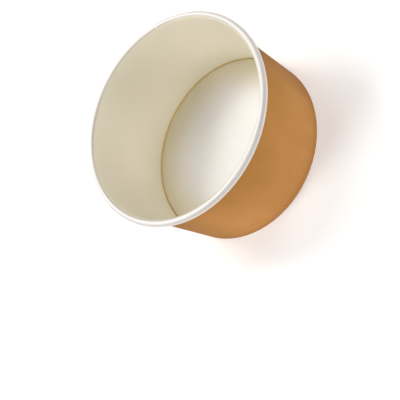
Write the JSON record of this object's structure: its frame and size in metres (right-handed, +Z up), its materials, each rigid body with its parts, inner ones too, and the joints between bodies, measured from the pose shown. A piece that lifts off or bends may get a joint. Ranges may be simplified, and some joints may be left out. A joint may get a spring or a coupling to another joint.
{
  "type": "paper bowl",
  "caption": "Round leaning-walled paper bowl of kraft board, white inside, with a rolled rim, a lapped side seam and a recessed base.",
  "frame": {"origin": "centre of the foot, on the plane that the bowl stands on", "axes": "+Z up along the bowl's axis; the side seam is at the back, on +Y"},
  "size_m": [0.15, 0.1503, 0.0764],
  "materials": {
    "kraft_board": "smooth unbleached kraft outside, white coated face inside and on the rolled rim",
    "white_board": "smooth white coated board, low sheen"
  },
  "bodies": {
    "root": {"side_wall": "kraft_board", "base_disc": "white_board"}
  },
  "joints": []
}
